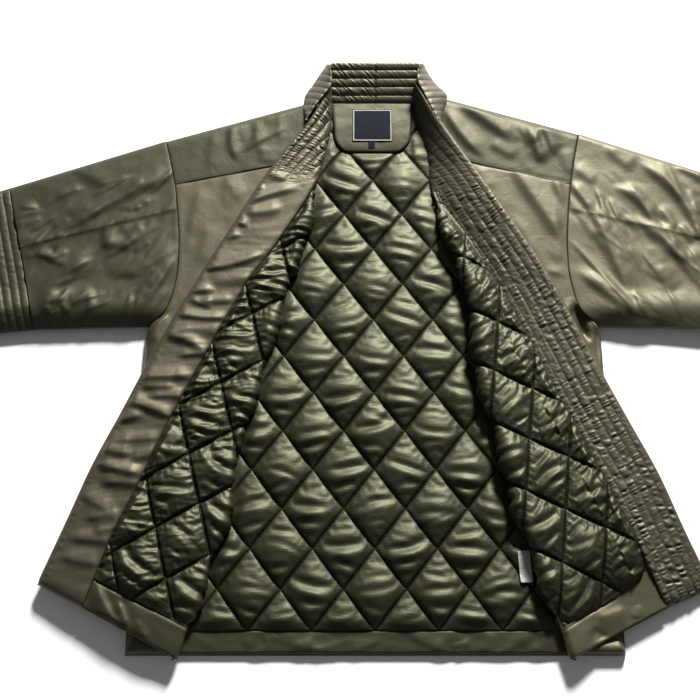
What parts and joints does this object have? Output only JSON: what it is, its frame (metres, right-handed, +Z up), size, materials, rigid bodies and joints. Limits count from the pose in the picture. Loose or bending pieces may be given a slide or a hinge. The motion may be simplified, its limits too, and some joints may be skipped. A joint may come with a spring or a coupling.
{
  "type": "padded kimono-style coat",
  "caption": "Padded kimono-style coat lying open on its back, fronts folded outward to show a diamond-quilted lining and a stitched band collar.",
  "frame": {"origin": "on the surface the coat lies on, under the middle of its bounding box", "axes": "+X across the coat from its left sleeve to its right one as seen, +Y from hem to neck, +Z up from the surface"},
  "size_m": [1.204, 0.786, 0.032],
  "materials": {
    "shell_taffeta": "fine olive-taupe taffeta with a soft sheen",
    "band_taffeta": "the shell's taffeta in stitched padded rows",
    "lining_satin": "olive satin, quilted in diamonds",
    "label_weave": "navy woven label, bare",
    "care_tape": "white satin tape, bare"
  },
  "bodies": {
    "root": {"back_shell": "shell_taffeta", "back_hem_facing": "shell_taffeta", "neck_facing": "shell_taffeta", "back_lining": "lining_satin", "neck_label": "label_weave", "size_tab": "label_weave", "care_label": "care_tape", "front_panel_left": "shell_taffeta", "front_yoke_left": "shell_taffeta", "turned_shell_left": "shell_taffeta", "front_lining_left": "lining_satin", "turned_hem_facing_left": "shell_taffeta", "band_front_left": "band_taffeta", "band_back_left": "band_taffeta", "band_side_left": "band_taffeta", "sleeve_upper_left": "shell_taffeta", "sleeve_lower_left": "shell_taffeta", "sleeve_under_left": "shell_taffeta", "cuff_upper_left": "band_taffeta", "cuff_under_left": "band_taffeta", "front_panel_right": "shell_taffeta", "front_yoke_right": "shell_taffeta", "turned_shell_right": "shell_taffeta", "front_lining_right": "lining_satin", "turned_hem_facing_right": "shell_taffeta", "band_front_right": "band_taffeta", "band_back_right": "band_taffeta", "band_side_right": "band_taffeta", "sleeve_upper_right": "shell_taffeta", "sleeve_lower_right": "shell_taffeta", "sleeve_under_right": "shell_taffeta", "cuff_upper_right": "band_taffeta", "cuff_under_right": "band_taffeta"}
  },
  "joints": []
}
